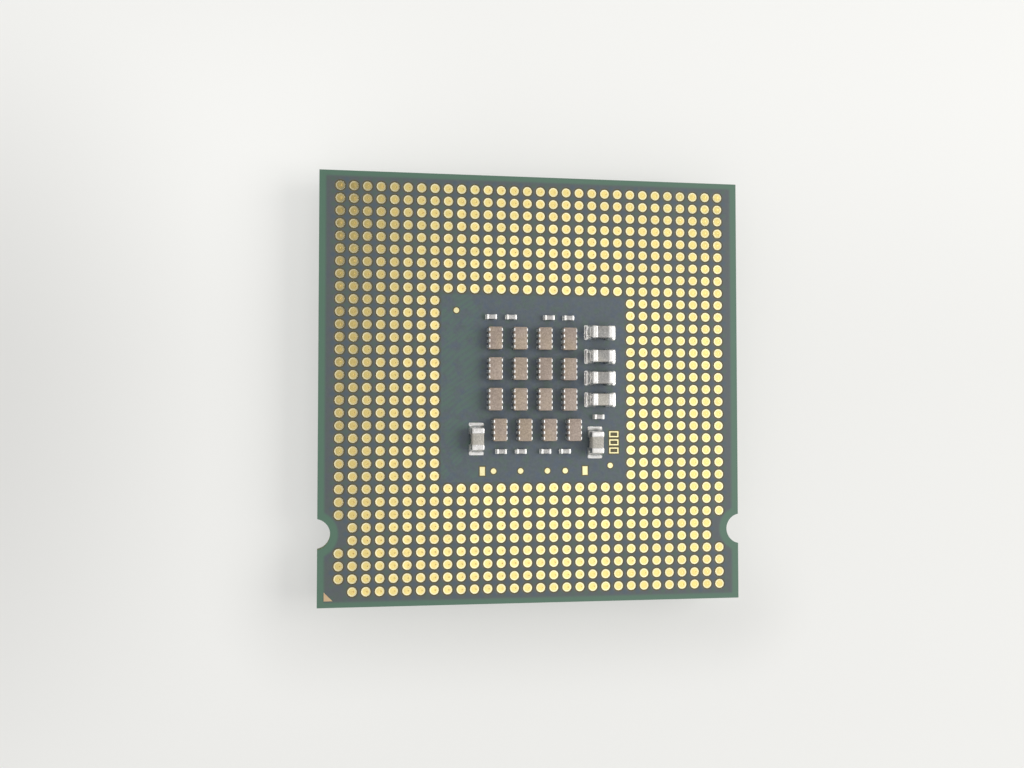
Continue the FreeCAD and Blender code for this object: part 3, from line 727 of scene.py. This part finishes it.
platedEnds = {  # start of the node's name: name of the piece, paint, edge radius and shorter wrap in mm
    "array_terminals_": ("arrayTerminals", "tin", 0.03, 0.05),
    "large_end_caps_": ("largeEndCaps", "cap", 0.10, 0.0),
    "chip_end_caps": ("chipEndCaps", "tin", 0.04, 0.0),
}


def makePlatedEnds(tree):
    for start, (name, paint, radius, shorter) in platedEnds.items():
        groups = {}
        for node in namesLike(start):
            centre = middleOf(node).x
            for low, high in solidsOf(node):
                if low.x > centre:
                    low.x += shorter * mm
                else:
                    high.x -= shorter * mm
                key = tuple(round(v / mm, 2) for v in high - low)
                groups.setdefault(key, []).append(((low + high) / 2, 0.0))
        parts = []
        for key, places in sorted(groups.items()):
            block = roundedBlock([v * mm for v in key], radius * mm)
            parts.append(scatter(tree, name, block, places, paint))
        finishPiece(joined(name, parts), paint, "tin_plate", *namesLike(start))


def makeSolder(tree):
    capacitors = namesLike("array_capacitor_") + namesLike("large_capacitor_")
    bodies = [(middleOf(node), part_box(node)) for node in capacitors]
    bodies += [((low + high) / 2, (low, high)) for low, high in solidsOf("chip_bodies")]
    plating = middleOf("large_end_caps_1").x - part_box("large_end_caps_1")[0].x
    plating -= middleOf("large_capacitor_1").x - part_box("large_capacitor_1")[0].x
    groups = {}
    for low, high in solidsOf("component_solder"):
        middle = (low + high) / 2
        centre, box = min(bodies, key=lambda body: (body[0] - middle).length)
        size = box[1] - box[0]
        upright = size.z > solderLook["largeFrom"] and size.y > size.x
        axis = 1 if upright else 0  # only an upright large capacitor is soldered fore and aft
        sign = 1.0 if middle[axis] > centre[axis] else -1.0
        face = (box[1] if sign > 0 else box[0])[axis] + sign * plating
        edge = (high if sign > 0 else low)[axis]
        inner = (low if sign > 0 else high)[axis]
        out, under = abs(edge - face), abs(face - inner)
        wide = high[1 - axis] - low[1 - axis]
        key = tuple(round(v / mm, 2) for v in (under, out, wide, high.z - low.z))
        point = Vector((middle.x, middle.y, low.z))
        point[axis] = face
        turn = (0.0 if sign > 0 else math.pi) + (0.0 if axis == 0 else math.pi / 2)
        groups.setdefault(key, []).append((point, turn))
    parts = []
    for key, places in sorted(groups.items()):
        mesh = solderMesh("solderJoint", *[v * mm for v in key])
        parts.append(scatter(tree, "solder", mesh, places, "solder"))
    finishPiece(joined("solderJoints", parts), "solder", "solder", "component_solder")


# capacitors, chips and the lid keep the forms of their nodes, with the edges broken
softEdges = {  # start of the node's name: edge radius in mm, paint, slot
    "array_capacitor_": (0.03, "tan", "array_ceramic"),
    "large_capacitor_": (0.09, "grey", "large_ceramic"),
    "chip_bodies": (0.03, "pale", "chip_ceramic"),
    "heat_spreader": (0.12, "lid", "nickel_lid"),
}


def makeSoftened():
    for start, (radius, paint, slot) in softEdges.items():
        for node in namesLike(start):
            finishPiece(softenedCopy(node, node + "_soft", radius * mm), paint, slot, node)


makePadWindows()
scatterGroup = scatterTree()
makePlatedEnds(scatterGroup)
makeSolder(scatterGroup)
makeSoftened()

# nodes whose CAD shape is right take a paint of their own
keptNodes = {
    "package_substrate": "board", "pin_one_mark": "mark", "gold_pads": "foil",
    "lid_adhesive": "sealant", "silicon_die": "silicon", "thermal_solder": "bond", "die_underfill": "resin",
}
for node, paint in keptNodes.items():
    nodes[node].data.materials.clear()
    nodes[node].data.materials.append(paints[paint])


# floor, light and camera
floorLook = {  # places in mm, seen from above
    "side": 1.6, "drop": 0.02 * mm, "colour": (0.83, 0.83, 0.815),
    "glow": (0.855, 0.86, 0.84), "lift": 0.5,
    # painted shade: a darker patch of the floor far to the left of the board
    "paintedShadePlace": (-62.0, -2.0), "paintedShadeReach": (34.0, 34.0), "paintedShadeRim": (0.2, 1.3), "paintedShadeTone": 0.70,
    # painted light: the floor grows brighter towards the back
    "back": (0.0, 32.0), "backPaintedLight": 1.13,
    # painted light: lifts the floor left of the board, where the lamp's shadow falls
    "left": ((0.0, -22.0), (-46.0, -24.0)), "leftPaintedLightRows": ((-40.0, 0.0), (44.0, 12.0)), "leftPaintedLight": 0.13,
    # painted shadow: darkens the floor just off the board's front edge
    "frontReach": (10.0, 1.5), "front": (-12.0, -23.0), "frontTone": 0.18,
}


def makeFloor():
    look = floorLook
    paint = Paint("paleFloor", Roughness=0.9, Specular_IOR_Level=0.1)
    paint.set("Base Color", rgba(look["colour"]))
    x, y = paint.split(paint.place())[:2]
    half = boardHalf / mm
    # painted shade: the floor's glow is darker round a place far to the left of the board
    (shadeX, shadeY), (reachX, reachY) = look["paintedShadePlace"], look["paintedShadeReach"]
    hollow = paint.far((x - shadeX) / reachX, (y - shadeY) / reachY)
    # painted light left of the board, over the lamp's shadow
    left = 1.0
    for rim in look["left"]:
        left = left * paint.step(x, *rim)
    for rim in look["leftPaintedLightRows"]:
        left = left * paint.step(y, *rim)
    # painted shadow just off the board's front edge, fading with distance from the board
    away = paint.far(paint.maths("MAXIMUM", abs(x) - half, 0.0), paint.maths("MAXIMUM", abs(y) - half, 0.0))
    front = paint.step(away, *look["frontReach"]) * paint.step(y, *look["front"])
    tone = paint.step(hollow, *look["paintedShadeRim"], look["paintedShadeTone"], 1.0)
    # painted light: the glow is brighter towards the back
    tone = tone * paint.step(y, *look["back"], 1.0, look["backPaintedLight"])
    # painted light left of the board, and painted shadow at its front
    tone = tone * (1.0 + left * look["leftPaintedLight"]) * (1.0 - front * look["frontTone"])
    # the glow that the camera sees carries the painted light and shade tones above
    glow = paint.node("ShaderNodeEmission", {"Color": paint.shade(look["glow"], tone), "Strength": 1.0})
    seen = paint.node("ShaderNodeLightPath", out="Is Camera Ray")
    blend = paint.node("ShaderNodeMixShader", {
        0: seen * look["lift"], 1: Field(paint, paint.shader.outputs[0]), 2: glow})
    paint.feed(paint.tree.nodes["Material Output"].inputs["Surface"], blend)
    side, low = look["side"] / 2, -look["drop"]
    mesh = bpy.data.meshes.new("floor")
    corners = [(-side, -side, low), (side, -side, low), (side, side, low), (-side, side, low)]
    mesh.from_pydata(corners, [], [(0, 1, 2, 3)])
    mesh.materials.append(paint.material)
    link("floor", mesh)


skyLook = {  # slopes from straight up, to the right and to the back
    "dome": 0.85, "backdrop": 0.86, "tone": (1.0, 0.995, 0.985), "lowest": 0.05,
    "zenith": 1.58, "zenithRim": (0.75, 0.96),
    "patchPlace": (-0.26, 0.22), "patchReach": (0.36, 0.70), "patchRim": (0.74, 1.03),
    "patchLevel": 0.04, "patchTint": (1.0, 0.84, 0.88),
    "dips": (  # axis, where a dip begins and is full, where it has gone and is still full, depth
        (0, 0.24, 0.44, 0.95, 0.55, 0.38),
        (1, 0.10, 0.28, 0.80, 0.40, 0.36),
        (1, -0.08, -0.26, -0.80, -0.40, 0.24),
    ),
}


def makeWorld():  # a pale dome with a dark patch above the left side, which the gold reflects
    look = skyLook
    world = bpy.data.worlds.new("studio")
    bpy.context.scene.world = world
    world.use_nodes = True
    sky = Graph(world.node_tree)
    x, y, z = sky.split(sky.node("ShaderNodeTexCoord", out="Generated"))
    up = sky.maths("MAXIMUM", z, look["lowest"])
    slopes = (x / up, y / up)
    offsets = [(slopes[axis] - look["patchPlace"][axis]) / look["patchReach"][axis] for axis in (0, 1)]
    clear = sky.step(sky.far(*offsets), *look["patchRim"])
    level = sky.step(z, *look["zenithRim"], 1.0, look["zenith"])
    level = level * (clear * (1.0 - look["patchLevel"]) + look["patchLevel"])
    fade = 1.0
    for axis, begins, full, gone, stillFull, depth in look["dips"]:
        fade = fade - sky.step(slopes[axis], begins, full) * sky.step(slopes[axis], gone, stillFull) * depth
    seen = sky.node("ShaderNodeLightPath", out="Is Camera Ray")
    background = world.node_tree.nodes["Background"]
    strength = level * fade * look["dome"] * (1.0 - seen) + seen * look["backdrop"]
    sky.feed(background.inputs["Strength"], strength)
    sky.feed(background.inputs["Color"], sky.mix(clear, look["patchTint"], look["tone"]))


lampLook = {"place": (0.33, 0.02, 0.29), "side": 0.28, "power": 1.12, "colour": (1.0, 0.985, 0.96)}


def makeLamp():
    look = lampLook
    lamp = bpy.data.lights.new("softLamp", "AREA")
    lamp.size = look["side"]
    lamp.energy = look["power"]
    lamp.color = look["colour"]
    holder = link("softLamp", lamp)
    holder.location = look["place"]
    holder.rotation_euler = (-Vector(look["place"])).to_track_quat("-Z", "Y").to_euler()


cameraLook = {  # where the photograph was taken from
    "place": (-18.977 * mm, -3.434 * mm, 104.097 * mm), "lens": 40.652, "sensor": 36.0,
    "right": (0.9858, 0.0, 0.1677), "up": (-0.0063, 0.9993, 0.0371), "look": (0.1676, 0.0376, -0.9851),
}


def makeCamera():
    camera = bpy.data.cameras.new("camera")
    camera.lens = cameraLook["lens"]
    camera.sensor_width = cameraLook["sensor"]
    camera.clip_start = 0.005
    camera.clip_end = 10.0
    holder = link("camera", camera)
    turn = Matrix((cameraLook["right"], cameraLook["up"], -Vector(cameraLook["look"]))).transposed()
    holder.matrix_world = Matrix.Translation(cameraLook["place"]) @ turn.to_4x4()
    bpy.context.scene.camera = holder


makeFloor()
makeWorld()
makeLamp()
makeCamera()
bpy.context.scene.view_settings.view_transform = "Standard"

print("scene ready")
